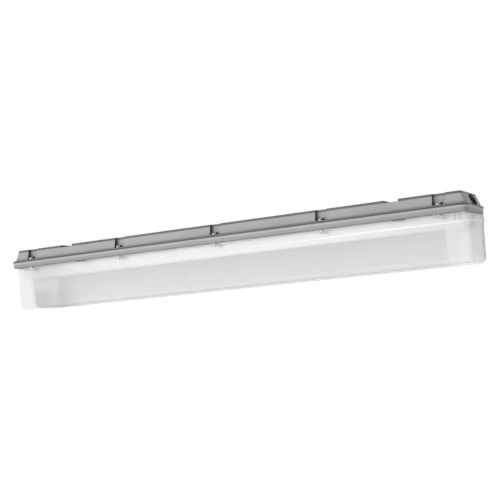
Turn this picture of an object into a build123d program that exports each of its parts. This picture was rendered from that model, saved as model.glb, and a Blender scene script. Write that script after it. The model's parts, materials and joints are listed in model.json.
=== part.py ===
from build123d import *
import os

# Vapor tight light fixture, in millimetres. +X runs along the fixture, +Y to its rear and +Z up.
# The origin is the centre of the housing's top face, which lies against the ceiling.

# Housing
FIXTURE_LENGTH = 1290.0
FIXTURE_WIDTH = 153.0
FLANGE_CORNER_RADIUS = 18.0
WALL_CORNER_RADIUS = 14.0
TOP_CORNER_RADIUS = 7.0
WALL_HEIGHT = 28.5
FLANGE_HEIGHT = 20.0
LEDGE = 11.0
END_LEDGE = 3.0
SIDE_DRAFT = 6.5
END_DRAFT = 12.0
HOUSING_WALL = 3.5
TOP_EDGE_RADIUS = 3.0
BEAD_HEIGHT = 8.0
BEAD_PROUD = 1.5
BEAD_TOP_EDGE = 3.0
BEAD_LOW_EDGE = 1.0
SHADOW_LINE_HEIGHT = 2.0
SHADOW_LINE_DEPTH = 1.5
SKIRT_WALL = 3.5
SKIRT_ROOF = 3.5

# Gasket groove, set in from the flange's edge
GROOVE_WIDTH = 6.0
GROOVE_DEPTH = 8.5
GROOVE_SIDE_INSET = 13.0
GROOVE_END_INSET = 4.5
GROOVE_CORNER_RADIUS = 13.0
GROOVE_ROOF = 4.0
INNER_LEG = 3.5
GASKET_THICKNESS = 4.0

# Latches
LATCH_COUNT = 5
LATCH_END_DISTANCE = 67.0
LATCH_EDGE_DISTANCE = 7.5
RECESS_WIDTH = 30.0
RECESS_INSET = 26.5
RECESS_CORNER_RADIUS = 4.0
LATCH_BOSS_LENGTH = 30.0
LATCH_STEM_RADIUS = 2.5
LATCH_BORE_CLEARANCE = 0.08
LATCH_HEAD_RADIUS = 6.0
LATCH_HEAD_HEIGHT = 4.5
DRIVER_SLOT_WIDTH = 1.6
DRIVER_SLOT_DEPTH = 1.8
RIVET_RADIUS = 3.6
RIVET_HEIGHT = 1.2
CAM_REACH = 10.0
CAM_WIDTH = 7.0
CAM_THICKNESS = 4.0
CAM_HUB_CLEARANCE = 0.05

# Lens
LENS_DEPTH = 114.0
LENS_WALL = 3.0
LENS_END_OVERHANG = 4.0
LENS_END_BULGE = 7.0
LENS_BULGE_STEPS = 4
LENS_SIDE_INSET = 18.5
LENS_CORNER_RADIUS = 20.0
LENS_DRAFT = 2.5
LENS_SHOULDER_DEPTH = 20.0
LENS_SHOULDER_STEP = 1.2
LENS_BOTTOM_RADIUS = 15.0
LIP_THICKNESS = 4.0
LIP_REACH = 7.0
TONGUE_WIDTH = 3.0
LENS_MOUTH_END_INSET = 10.0
GUSSET_COUNT = 2
GUSSET_END_DISTANCE = 28.0
GUSSET_PITCH = 11.0
GUSSET_THICKNESS = 2.0
GUSSET_REACH = 5.5
PRISM_END_DISTANCE = 60.0
PRISM_PITCH = 5.0
PRISM_HEIGHT = 1.2
PRISM_ROOT = 0.8
PRISM_TOP_DEPTH = 34.5

# Conduit entries and the plug in the right one
CONDUIT_RADIUS = 11.1
CONDUIT_BOSS_WALL = 2.4
CONDUIT_DROP = 18.5
CONDUIT_SEAT_INSET = 14.0
CONDUIT_BOSS_LENGTH = 12.0
PLUG_CLEARANCE = 0.2
PLUG_HEAD_HEIGHT = 4.0
PLUG_HEAD_EDGE = 1.0
PLUG_WALL = 2.0
PLUG_SLOT_WIDTH = 2.5
PLUG_SLOT_DEPTH = 1.5
WASHER_THICKNESS = 1.5

# Saddles for the mounting brackets, and the lugs under the flange
SADDLE_END_DISTANCE = 181.0
SADDLE_LENGTH = 36.0
SADDLE_DEPTH = 6.0
LEFT_LUG_END_DISTANCE = 234.0
RIGHT_LUG_END_DISTANCE = 162.0
LUG_LENGTH = 28.0
LUG_WIDTH = 4.0
LUG_HEIGHT = 3.0

# Gear tray
TRAY_SHEET = 1.5
TRAY_DROP = 33.0
TRAY_GAP_SIDE = 5.0
TRAY_GAP_END = 2.0
TRAY_CORNER_RADIUS = 10.0
TRAY_BEND = 3.0
TRAY_RIM_RISE = 8.5

# Hangers that carry the tray, with their screws and toggles
HANGER_WIDTH = 16.0
HANGER_SPAN = 44.0
HANGER_FOOT = 18.0
HANGER_SHEET = 1.5
HANGER_BOSS_RADIUS = 5.0
HANGER_BOSS_HEIGHT = 10.0
SCREW_SHANK_RADIUS = 1.9
SCREW_DEPTH = 8.0
SCREW_HEAD_RADIUS = 3.8
SCREW_HEAD_HEIGHT = 2.4
SCREW_CLEARANCE = 0.1
TOGGLE_KNOB_RADIUS = 9.75
TOGGLE_KNOB_HEIGHT = 9.0
TOGGLE_KNOB_EDGE = 1.5
TOGGLE_GRIP_CUT = 6.5
TOGGLE_GRIP_HEIGHT = 6.0
TOGGLE_STEM_RADIUS = 4.0
TOGGLE_BAR_LENGTH = 14.0
TOGGLE_BAR_WIDTH = 4.0
TOGGLE_BAR_THICKNESS = 3.0
TOGGLE_SLOT_CLEARANCE = 0.3

# LED boards
BOARD_END_GAP = 34.0
BOARD_WIDTH = 24.0
BOARD_THICKNESS = 1.6
BOARD_ROW_SPACING = 48.0
BOARD_GAP = 10.0
CHIP_COUNT = 28
CHIP_LENGTH = 5.0
CHIP_WIDTH = 4.0
CHIP_HEIGHT = 0.8

# Driver, terminal block and ground screw
DRIVER_LENGTH = 360.0
DRIVER_WIDTH = 56.0
DRIVER_HEIGHT = 32.0
DRIVER_X = 100.0
DRIVER_EDGE = 3.0
DRIVER_EAR_LENGTH = 14.0
DRIVER_EAR_WIDTH = 24.0
DRIVER_EAR_THICKNESS = 2.0
TERMINAL_X = -300.0
TERMINAL_LENGTH = 34.0
TERMINAL_WIDTH = 22.0
TERMINAL_HEIGHT = 17.0
TERMINAL_WAYS = 3
TERMINAL_PORT_SIZE = 4.4
TERMINAL_PORT_DEPTH = 7.0
GROUND_SCREW_GAP = 30.0

# Clearances and the overrun of cuts
RUNNING_GAP = 0.1
SEAT_GAP = 0.3
OVERRUN = 1.0

# Heights worked out from the sizes above
LEDGE_Z = -WALL_HEIGHT
FLANGE_Z = LEDGE_Z - FLANGE_HEIGHT
GROOVE_ROOF_Z = FLANGE_Z + GROOVE_DEPTH
WEB_Z = GROOVE_ROOF_Z + GROOVE_ROOF
GASKET_Z = GROOVE_ROOF_Z - GASKET_THICKNESS
LIP_TOP_Z = FLANGE_Z - SEAT_GAP
LIP_BOTTOM_Z = LIP_TOP_Z - LIP_THICKNESS
SHOULDER_Z = FLANGE_Z - LENS_SHOULDER_DEPTH
LENS_BOTTOM_Z = FLANGE_Z - LENS_DEPTH
CAM_TOP_Z = LIP_BOTTOM_Z - SEAT_GAP
CAM_BOTTOM_Z = CAM_TOP_Z - CAM_THICKNESS
CONDUIT_Z = -CONDUIT_DROP
TRAY_BOTTOM_Z = FLANGE_Z - TRAY_DROP
TRAY_WEB_Z = TRAY_BOTTOM_Z + TRAY_SHEET
TRAY_RIM_Z = FLANGE_Z + TRAY_RIM_RISE
HANGER_TOP_Z = -HOUSING_WALL - HANGER_BOSS_HEIGHT
HANGER_BOTTOM_Z = TRAY_WEB_Z + HANGER_SHEET

# Half sizes and places in plan
HALF_LENGTH = FIXTURE_LENGTH / 2
HALF_WIDTH = FIXTURE_WIDTH / 2
FOOT_X = HALF_LENGTH - END_LEDGE
FOOT_Y = HALF_WIDTH - LEDGE
TOP_X = FOOT_X - END_DRAFT
TOP_Y = FOOT_Y - SIDE_DRAFT
GROOVE_X = HALF_LENGTH - GROOVE_END_INSET
GROOVE_Y = HALF_WIDTH - GROOVE_SIDE_INSET
MOUTH_INSET = GROOVE_WIDTH + INNER_LEG
MOUTH_X = GROOVE_X - MOUTH_INSET
MOUTH_Y = GROOVE_Y - MOUTH_INSET
MOUTH_RADIUS = GROOVE_CORNER_RADIUS - MOUTH_INSET
LATCH_Y = HALF_WIDTH - LATCH_EDGE_DISTANCE
LATCH_PITCH = 2 * (HALF_LENGTH - LATCH_END_DISTANCE) / (LATCH_COUNT - 1)
RECESS_Y = HALF_WIDTH - RECESS_INSET
LENS_X = HALF_LENGTH + LENS_END_OVERHANG
LENS_Y = HALF_WIDTH - LENS_SIDE_INSET
PRISM_LENGTH = 2 * (HALF_LENGTH - PRISM_END_DISTANCE)
TRAY_X = MOUTH_X - TRAY_GAP_END
TRAY_Y = MOUTH_Y - TRAY_GAP_SIDE
BOARD_LENGTH = TRAY_X - BOARD_END_GAP - BOARD_GAP / 2
HANGER_X = TRAY_X - TRAY_BEND - HANGER_WIDTH / 2
CONDUIT_SEAT_X = HALF_LENGTH - CONDUIT_SEAT_INSET
HANGER_SCREW_Y = (HANGER_SPAN + HANGER_FOOT) / 2
SADDLE_X = HALF_LENGTH - SADDLE_END_DISTANCE

ENDS = {"left": -1, "right": 1}
SIDES = {"front": -1, "rear": 1}


def latch_places():
    """Gives the place of each latch along the fixture, from left to right."""
    middle = (LATCH_COUNT - 1) / 2
    return [(number - middle) * LATCH_PITCH for number in range(LATCH_COUNT)]


def slab(half_x, half_y, radius, low, high):
    """A plate with rounded corners in plan, between two heights."""
    return Pos(0, 0, low) * extrude(RectangleRounded(2 * half_x, 2 * half_y, radius), high - low)


def ring(half_x, half_y, radius, width, low, high):
    """A closed band of even width that follows a rounded rectangle, between two heights."""
    outer = slab(half_x, half_y, radius, low, high)
    return outer - slab(half_x - width, half_y - width, radius - width, low - OVERRUN, high + OVERRUN)


def tapered(low_size, high_size, low, high):
    """A straight walled loft between two rounded rectangles, each given as half sizes and a radius."""
    sections = []
    for (half_x, half_y, radius), height in ((low_size, low), (high_size, high)):
        sections.append(Pos(0, 0, height) * RectangleRounded(2 * half_x, 2 * half_y, radius))
    return loft(sections, ruled=True)


def post(x, y, radius, low, high):
    """An upright cylinder between two heights."""
    return Pos(x, y, (low + high) / 2) * Cylinder(radius, high - low)


def block(x, y, size_x, size_y, low, high):
    """An upright box centred on a place in plan, between two heights."""
    return Pos(x, y, (low + high) / 2) * Box(size_x, size_y, high - low)


def edges_at(solid, height):
    """The edges of a solid that lie flat at a height."""
    return solid.edges().filter_by_position(Axis.Z, height - SEAT_GAP, height + SEAT_GAP)


def housing_walls():
    """The sloped walls, the ledge and the flange with its bead, still solid inside."""
    foot = (FOOT_X, FOOT_Y, WALL_CORNER_RADIUS)
    walls = tapered(foot, (TOP_X, TOP_Y, TOP_CORNER_RADIUS), LEDGE_Z, 0)
    walls = fillet(edges_at(walls, 0), TOP_EDGE_RADIUS)
    bead = slab(HALF_LENGTH, HALF_WIDTH, FLANGE_CORNER_RADIUS, LEDGE_Z - BEAD_HEIGHT, LEDGE_Z)
    bead = chamfer(edges_at(bead, LEDGE_Z), BEAD_TOP_EDGE)
    bead = chamfer(edges_at(bead, LEDGE_Z - BEAD_HEIGHT), BEAD_LOW_EDGE)
    band = slab(HALF_LENGTH - BEAD_PROUD, HALF_WIDTH - BEAD_PROUD, FLANGE_CORNER_RADIUS - BEAD_PROUD,
                FLANGE_Z, LEDGE_Z - BEAD_TOP_EDGE)
    line_foot = tuple(size - SHADOW_LINE_DEPTH for size in foot)
    shadow_line = slab(*foot, LEDGE_Z, LEDGE_Z + SHADOW_LINE_HEIGHT)
    shadow_line -= slab(*line_foot, LEDGE_Z - OVERRUN, LEDGE_Z + SHADOW_LINE_HEIGHT + OVERRUN)
    return walls + bead + band - shadow_line


def latch_recess(x, side, wall, low):
    """The upright recess over a latch, open outwards and at the top, with a wall's thickness added all round."""
    inner, outer = RECESS_Y - wall, FIXTURE_WIDTH
    outline = RectangleRounded(RECESS_WIDTH + 2 * wall, outer - inner, RECESS_CORNER_RADIUS)
    return Pos(x, side * (inner + outer) / 2, low) * extrude(outline, OVERRUN - low)


def housing_cavity():
    """The space inside the walls, drawn in round the saddles and the latch recesses."""
    foot = (FOOT_X - HOUSING_WALL, FOOT_Y - HOUSING_WALL, WALL_CORNER_RADIUS - HOUSING_WALL)
    top = (TOP_X - HOUSING_WALL, TOP_Y - HOUSING_WALL, TOP_CORNER_RADIUS - HOUSING_WALL)
    space = tapered(foot, top, LEDGE_Z, -HOUSING_WALL) + slab(*foot, WEB_Z, LEDGE_Z)
    for x in (-SADDLE_X, SADDLE_X):
        space -= block(x, 0, SADDLE_LENGTH + 2 * HOUSING_WALL, FIXTURE_WIDTH,
                       -SADDLE_DEPTH - HOUSING_WALL, OVERRUN)
    for x in latch_places():
        for side in SIDES.values():
            space -= latch_recess(x, side, HOUSING_WALL, LEDGE_Z - HOUSING_WALL)
    return space


def skirt_channel():
    """The hollow between the skirt and the groove along each side, left solid round each latch."""
    half_length = HALF_LENGTH - FLANGE_CORNER_RADIUS
    inner_y = GROOVE_Y + INNER_LEG
    outer_y = HALF_WIDTH - SKIRT_WALL
    width = outer_y - inner_y
    space = Part()
    for side in SIDES.values():
        space += block(0, side * (inner_y + outer_y) / 2, 2 * half_length, width,
                       FLANGE_Z - OVERRUN, LEDGE_Z - SKIRT_ROOF)
        for x in latch_places():
            space -= block(x, side * (inner_y + outer_y) / 2, LATCH_BOSS_LENGTH, width + 2 * OVERRUN,
                           FLANGE_Z - 2 * OVERRUN, OVERRUN)
    return space


def conduit_boss(end):
    """The round boss of a conduit entry, from the seat of its fitting inwards."""
    boss = Cylinder(CONDUIT_RADIUS + CONDUIT_BOSS_WALL, CONDUIT_BOSS_LENGTH, rotation=(0, 90, 0))
    return Pos(end * (CONDUIT_SEAT_X - CONDUIT_BOSS_LENGTH / 2), 0, CONDUIT_Z) * boss


def conduit_pocket(end):
    """The round pocket in the sloped end wall that gives a fitting its upright seat."""
    depth = CONDUIT_SEAT_INSET + OVERRUN
    pocket = Cylinder(CONDUIT_RADIUS + CONDUIT_BOSS_WALL, depth, rotation=(0, 90, 0))
    return Pos(end * (CONDUIT_SEAT_X + depth / 2), 0, CONDUIT_Z) * pocket


def conduit_bore(end):
    """The round hole through a conduit entry."""
    bore = Cylinder(CONDUIT_RADIUS, CONDUIT_BOSS_LENGTH + 2 * OVERRUN, rotation=(0, 90, 0))
    return Pos(end * (CONDUIT_SEAT_X - CONDUIT_BOSS_LENGTH / 2), 0, CONDUIT_Z) * bore


def housing_shell():
    """The moulded housing with its flange, latch bosses, saddles and conduit entries."""
    shell = housing_walls() - housing_cavity()
    shell -= slab(MOUTH_X, MOUTH_Y, MOUTH_RADIUS, FLANGE_Z - OVERRUN, WEB_Z)
    shell -= ring(GROOVE_X, GROOVE_Y, GROOVE_CORNER_RADIUS, GROOVE_WIDTH,
                  FLANGE_Z - OVERRUN, GROOVE_ROOF_Z)
    shell -= skirt_channel()
    for x in (-SADDLE_X, SADDLE_X):
        shell -= block(x, 0, SADDLE_LENGTH, FIXTURE_WIDTH, -SADDLE_DEPTH, OVERRUN)
    for x in (LEFT_LUG_END_DISTANCE - HALF_LENGTH, HALF_LENGTH - RIGHT_LUG_END_DISTANCE):
        for side in SIDES.values():
            shell += block(x, side * (HALF_WIDTH - BEAD_PROUD - LUG_WIDTH / 2), LUG_LENGTH, LUG_WIDTH,
                           FLANGE_Z - LUG_HEIGHT, FLANGE_Z + SKIRT_ROOF)
    for x in latch_places():
        for side in SIDES.values():
            y = side * LATCH_Y
            shell -= latch_recess(x, side, 0, LEDGE_Z)
            shell -= post(x, y, LATCH_STEM_RADIUS + LATCH_BORE_CLEARANCE, FLANGE_Z - OVERRUN, LEDGE_Z + OVERRUN)
    for end in ENDS.values():
        shell = shell + conduit_boss(end) - conduit_pocket(end) - conduit_bore(end)
        for side in SIDES.values():
            x, y = end * HANGER_X, side * HANGER_SCREW_Y
            shell += post(x, y, HANGER_BOSS_RADIUS, HANGER_TOP_Z, -HOUSING_WALL / 2)
            shell -= post(x, y, SCREW_SHANK_RADIUS + SCREW_CLEARANCE, HANGER_TOP_Z - OVERRUN,
                          HANGER_TOP_Z + SCREW_DEPTH)
    return shell


def gasket():
    """The poured seal that fills the roof of the groove."""
    return ring(GROOVE_X, GROOVE_Y, GROOVE_CORNER_RADIUS, GROOVE_WIDTH, GASKET_Z, GROOVE_ROOF_Z)


def lens_bulge():
    """The upper lens wall, whose ends swell out under the flange along a quarter circle."""
    sections = [Pos(0, 0, SHOULDER_Z) * RectangleRounded(2 * LENS_X, 2 * LENS_Y, LENS_CORNER_RADIUS)]
    for step in range(LENS_BULGE_STEPS + 1):
        angle = 90 * step / LENS_BULGE_STEPS
        swell = Vector(LENS_END_BULGE, 0).rotate(Axis.Z, angle)
        half_x = LENS_X - LENS_END_BULGE + swell.X
        place = Pos(0, 0, LIP_TOP_Z - LENS_END_BULGE + swell.Y)
        sections.append(place * RectangleRounded(2 * half_x, 2 * LENS_Y, LENS_CORNER_RADIUS))
    return loft(sections, ruled=True)


def prism_band(start, end, inward):
    """A row of linear prisms between two points of a wall's section, pointing inward, along the lens."""
    run = end - start
    teeth = max(1, round(run.length / PRISM_PITCH))
    root, crest = inward * -PRISM_ROOT, inward * PRISM_HEIGHT
    points = [start + root, start]
    for tooth in range(teeth):
        points += [start + run * ((tooth + 1 / 2) / teeth) + crest, start + run * ((tooth + 1) / teeth)]
    points.append(end + root)
    profile = Plane.YZ * make_face(Polyline(*[(p.X, p.Y) for p in points], close=True))
    return extrude(profile, PRISM_LENGTH / 2, both=True)


def lens_prisms(inner_top, inner_low):
    """The prisms on the inside of both long walls, below the clear band, and on the lens floor."""
    floor_z = LENS_BOTTOM_Z + LENS_WALL
    floor_radius = LENS_BOTTOM_RADIUS - LENS_WALL
    slope = (inner_top[1] - inner_low[1]) / (SHOULDER_Z + LENS_SHOULDER_STEP - floor_z)
    band_top, band_low = FLANGE_Z - PRISM_TOP_DEPTH, floor_z + floor_radius
    prisms = Part()
    for side in SIDES.values():
        ends = [Vector(side * (inner_low[1] + slope * (z - floor_z)), z) for z in (band_top, band_low)]
        prisms += prism_band(*ends, Vector(-side, 0))
    floor_y = inner_low[1] - floor_radius
    return prisms + prism_band(Vector(-floor_y, floor_z), Vector(floor_y, floor_z), Vector(0, 1))


def lip_gusset(x, side):
    """A thin triangular rib that stiffens the lip from below, near a corner of the lens."""
    root = LENS_Y - LENS_WALL / 2
    corners = [(side * root, LIP_BOTTOM_Z), (side * (LENS_Y + GUSSET_REACH), LIP_BOTTOM_Z),
               (side * LENS_Y, SHOULDER_Z), (side * root, SHOULDER_Z)]
    profile = Plane.YZ * make_face(Polyline(*corners, close=True))
    return Pos(x, 0, 0) * extrude(profile, GUSSET_THICKNESS / 2, both=True)


def gusset_places():
    """The places of the gussets along one side of the lens, at both ends."""
    outer = LENS_X - GUSSET_END_DISTANCE
    return [end * (outer - number * GUSSET_PITCH) for end in ENDS.values() for number in range(GUSSET_COUNT)]


def lens():
    """The clear lens: lip, tongue, shoulder and a deep drafted body with its prisms, open at the top."""
    step = LENS_SHOULDER_STEP
    tongue_inset = (GROOVE_WIDTH - TONGUE_WIDTH) / 2
    lip = slab(LENS_X - LENS_END_BULGE, LENS_Y + LIP_REACH, LENS_CORNER_RADIUS, LIP_BOTTOM_Z, LIP_TOP_Z)
    body_top = (LENS_X - step, LENS_Y - step, LENS_CORNER_RADIUS - step)
    body_low = tuple(size - LENS_DRAFT for size in body_top)
    body = tapered(body_low, body_top, LENS_BOTTOM_Z, SHOULDER_Z + step)
    body = fillet(edges_at(body, LENS_BOTTOM_Z), LENS_BOTTOM_RADIUS)
    inner_low = tuple(size - LENS_WALL for size in body_low)
    inner_top = tuple(size - LENS_WALL for size in body_top)
    hollow = tapered(inner_low, inner_top, LENS_BOTTOM_Z + LENS_WALL, SHOULDER_Z + step)
    hollow = fillet(edges_at(hollow, LENS_BOTTOM_Z + LENS_WALL), LENS_BOTTOM_RADIUS - LENS_WALL)
    hollow += slab(*inner_top, SHOULDER_Z + step, LIP_BOTTOM_Z)
    tongue = ring(GROOVE_X - tongue_inset, GROOVE_Y - tongue_inset, GROOVE_CORNER_RADIUS - tongue_inset,
                  TONGUE_WIDTH, LIP_TOP_Z - LIP_THICKNESS / 2, GASKET_Z - SEAT_GAP)
    mouth_y = LENS_Y - step - LENS_WALL
    mouth = slab(HALF_LENGTH - LENS_MOUTH_END_INSET, mouth_y, inner_top[2],
                 LIP_BOTTOM_Z - OVERRUN, LIP_TOP_Z + OVERRUN)
    shell = lip + lens_bulge() + body
    for x in gusset_places():
        for side in SIDES.values():
            shell += lip_gusset(x, side)
    return shell - hollow - mouth + tongue + lens_prisms(inner_top, inner_low)


def driver_slot(radius, top, x, y):
    """The straight slot that a screwdriver turns, cut down from a head's top."""
    return block(x, y, 2 * radius + OVERRUN, DRIVER_SLOT_WIDTH, top - DRIVER_SLOT_DEPTH, top + OVERRUN)


def latch_screw(x, side):
    """A quarter turn screw: slotted head on the ledge, stem through the flange, rivet under the cam."""
    y = side * LATCH_Y
    head_low = LEDGE_Z + RUNNING_GAP
    head_top = head_low + LATCH_HEAD_HEIGHT
    head = post(x, y, LATCH_HEAD_RADIUS, head_low, head_top) - driver_slot(LATCH_HEAD_RADIUS, head_top, x, y)
    stem = post(x, y, LATCH_STEM_RADIUS, CAM_BOTTOM_Z - RUNNING_GAP, head_low)
    rivet = post(x, y, RIVET_RADIUS, CAM_BOTTOM_Z - RUNNING_GAP - RIVET_HEIGHT, CAM_BOTTOM_Z - RUNNING_GAP)
    return head + stem + rivet


def latch_cam(x, side):
    """The cam on a latch screw, drawn released, along the flange, clear of the lens lip."""
    y = side * LATCH_Y
    half = CAM_WIDTH / 2
    reach = CAM_REACH - half
    hub = post(x, y, half, CAM_BOTTOM_Z, CAM_TOP_Z)
    arm = block(x + reach / 2, y, reach, CAM_WIDTH, CAM_BOTTOM_Z, CAM_TOP_Z)
    tip = post(x + reach, y, half, CAM_BOTTOM_Z, CAM_TOP_Z)
    bore = post(x, y, LATCH_STEM_RADIUS + CAM_HUB_CLEARANCE, CAM_BOTTOM_Z - OVERRUN, CAM_TOP_Z + OVERRUN)
    return hub + arm + tip - bore


def toggle_slot(x, low, high):
    """The keyhole that a toggle's cross bar passes once it is turned across the fixture."""
    clearance = TOGGLE_SLOT_CLEARANCE
    key = block(x, 0, TOGGLE_BAR_WIDTH + 2 * clearance, TOGGLE_BAR_LENGTH + 2 * clearance, low, high)
    return key + post(x, 0, TOGGLE_STEM_RADIUS + RUNNING_GAP, low, high)


def gear_tray():
    """The white reflector pan: web, sides and ends folded from one sheet."""
    pan = slab(TRAY_X, TRAY_Y, TRAY_CORNER_RADIUS, TRAY_BOTTOM_Z, TRAY_RIM_Z)
    pan = chamfer(edges_at(pan, TRAY_BOTTOM_Z), TRAY_BEND)
    room = slab(TRAY_X - TRAY_SHEET, TRAY_Y - TRAY_SHEET, TRAY_CORNER_RADIUS - TRAY_SHEET,
                TRAY_WEB_Z, TRAY_RIM_Z + OVERRUN)
    room = chamfer(edges_at(room, TRAY_WEB_Z), TRAY_BEND - TRAY_SHEET)
    pan -= room
    low, high = TRAY_BOTTOM_Z - OVERRUN, TRAY_WEB_Z + OVERRUN
    for end in ENDS.values():
        pan -= toggle_slot(end * HANGER_X, low, high)
    for x in driver_screw_places() + [ground_screw_place()]:
        pan -= post(x, 0, SCREW_SHANK_RADIUS + SCREW_CLEARANCE, low, high)
    return pan


def tray_hanger(end):
    """A hat shaped strap: two feet under the housing's bosses, two legs and a floor that holds the toggle."""
    half, sheet = HANGER_SPAN / 2, HANGER_SHEET
    foot = half + HANGER_FOOT
    low, top = HANGER_BOTTOM_Z - sheet, HANGER_TOP_Z
    right_side = [(half, low), (half, top - sheet), (foot, top - sheet), (foot, top),
                  (half - sheet, top), (half - sheet, low + sheet)]
    left_side = [(-y, z) for y, z in reversed(right_side)]
    profile = Plane.YZ * make_face(Polyline(*right_side, *left_side, close=True))
    strap = extrude(profile, HANGER_WIDTH / 2, both=True)
    strap = Pos(end * HANGER_X, 0, 0) * strap
    strap -= toggle_slot(end * HANGER_X, low - OVERRUN, HANGER_BOTTOM_Z + OVERRUN)
    for side in SIDES.values():
        strap -= post(end * HANGER_X, side * HANGER_SCREW_Y, SCREW_SHANK_RADIUS + SCREW_CLEARANCE,
                      top - sheet - OVERRUN, top + OVERRUN)
    return strap


def pan_head_screw(x, y, seat_z, grip, direction):
    """A screw whose head lies on a seat and whose shank runs through it, up (1) or down (-1)."""
    head_far = seat_z - direction * SCREW_HEAD_HEIGHT
    shank_far = seat_z + direction * grip
    head = post(x, y, SCREW_HEAD_RADIUS, min(seat_z, head_far), max(seat_z, head_far))
    shank = post(x, y, SCREW_SHANK_RADIUS, min(seat_z, shank_far), max(seat_z, shank_far))
    return head + shank


def hanger_screw(end, side):
    """A screw that holds a hanger's foot to its boss in the housing."""
    grip = HANGER_SHEET + SCREW_DEPTH - OVERRUN
    return pan_head_screw(end * HANGER_X, side * HANGER_SCREW_Y, HANGER_TOP_Z - HANGER_SHEET, grip, 1)


def tray_toggle(end):
    """A quarter turn toggle: grip knob under the tray, stem, and a bar that rests on the hanger."""
    x = end * HANGER_X
    knob_top = TRAY_BOTTOM_Z - RUNNING_GAP
    knob_low = knob_top - TOGGLE_KNOB_HEIGHT
    knob = post(x, 0, TOGGLE_KNOB_RADIUS, knob_low, knob_top)
    knob = chamfer(edges_at(knob, knob_low), TOGGLE_KNOB_EDGE)
    cut_width = TOGGLE_KNOB_RADIUS - TOGGLE_GRIP_CUT / 2 + OVERRUN
    cut_centre = TOGGLE_GRIP_CUT / 2 + cut_width / 2
    for side in SIDES.values():
        knob -= block(x, side * cut_centre, 2 * TOGGLE_KNOB_RADIUS + OVERRUN, cut_width,
                      knob_low - OVERRUN, knob_low + TOGGLE_GRIP_HEIGHT)
    bar_low = HANGER_BOTTOM_Z + RUNNING_GAP
    stem = post(x, 0, TOGGLE_STEM_RADIUS, knob_top, bar_low)
    bar = block(x, 0, TOGGLE_BAR_LENGTH, TOGGLE_BAR_WIDTH, bar_low, bar_low + TOGGLE_BAR_THICKNESS)
    neck = post(x, 0, TOGGLE_BAR_WIDTH / 2, bar_low - RUNNING_GAP, bar_low + TOGGLE_BAR_THICKNESS)
    return knob + stem + neck + bar


def led_board(row, half):
    """One LED board with its row of chips, flat under the tray."""
    x = half * (BOARD_GAP + BOARD_LENGTH) / 2
    y = row * BOARD_ROW_SPACING / 2
    low = TRAY_BOTTOM_Z - BOARD_THICKNESS
    board = block(x, y, BOARD_LENGTH, BOARD_WIDTH, low, TRAY_BOTTOM_Z)
    pitch = BOARD_LENGTH / CHIP_COUNT
    chips = [block(x + (number - (CHIP_COUNT - 1) / 2) * pitch, y, CHIP_LENGTH, CHIP_WIDTH,
                   low - CHIP_HEIGHT, low) for number in range(CHIP_COUNT)]
    return board + chips


def driver_screw_places():
    """The places of the driver's two screws, in its ears."""
    reach = (DRIVER_LENGTH + DRIVER_EAR_LENGTH) / 2
    return [DRIVER_X - reach, DRIVER_X + reach]


def led_driver():
    """The driver's case with a fixing ear at each end, on top of the tray's web."""
    case = block(DRIVER_X, 0, DRIVER_LENGTH, DRIVER_WIDTH, TRAY_WEB_Z, TRAY_WEB_Z + DRIVER_HEIGHT)
    case = fillet(case.edges().filter_by(Axis.X), DRIVER_EDGE)
    for x in driver_screw_places():
        case += block(x, 0, DRIVER_EAR_LENGTH + 2 * OVERRUN, DRIVER_EAR_WIDTH, TRAY_WEB_Z,
                      TRAY_WEB_Z + DRIVER_EAR_THICKNESS)
        case -= post(x, 0, SCREW_SHANK_RADIUS + SCREW_CLEARANCE, TRAY_WEB_Z - OVERRUN,
                     TRAY_WEB_Z + DRIVER_EAR_THICKNESS + OVERRUN)
    return case


def driver_screw(x):
    """A screw that holds one ear of the driver to the tray."""
    grip = DRIVER_EAR_THICKNESS + TRAY_SHEET + OVERRUN
    return pan_head_screw(x, 0, TRAY_WEB_Z + DRIVER_EAR_THICKNESS, grip, -1)


def terminal_block():
    """The supply terminals, with a wire port for each way on both long faces."""
    top = TRAY_WEB_Z + TERMINAL_HEIGHT
    body = block(TERMINAL_X, 0, TERMINAL_LENGTH, TERMINAL_WIDTH, TRAY_WEB_Z, top)
    pitch = TERMINAL_LENGTH / TERMINAL_WAYS
    for way in range(TERMINAL_WAYS):
        x = TERMINAL_X + (way - (TERMINAL_WAYS - 1) / 2) * pitch
        body -= post(x, 0, TERMINAL_PORT_SIZE / 2, top - TERMINAL_PORT_DEPTH, top + OVERRUN)
        for side in SIDES.values():
            port = Box(TERMINAL_PORT_SIZE, TERMINAL_PORT_DEPTH, TERMINAL_PORT_SIZE)
            body -= Pos(x, side * TERMINAL_WIDTH / 2, TRAY_WEB_Z + TERMINAL_HEIGHT / 3) * port
    return body


def ground_screw_place():
    """The place of the ground screw, beside the terminal block."""
    return TERMINAL_X - TERMINAL_LENGTH / 2 - GROUND_SCREW_GAP


def ground_screw():
    """The screw in the tray's web that takes the ground wire."""
    return pan_head_screw(ground_screw_place(), 0, TRAY_WEB_Z, TRAY_SHEET + OVERRUN, -1)


def plug_washer():
    """The sealing washer between the plug's head and the right conduit boss."""
    disc = Cylinder(CONDUIT_RADIUS + CONDUIT_BOSS_WALL / 2, WASHER_THICKNESS, rotation=(0, 90, 0))
    disc -= Cylinder(CONDUIT_RADIUS, WASHER_THICKNESS + OVERRUN, rotation=(0, 90, 0))
    return Pos(CONDUIT_SEAT_X + WASHER_THICKNESS / 2, 0, CONDUIT_Z) * disc


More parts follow.
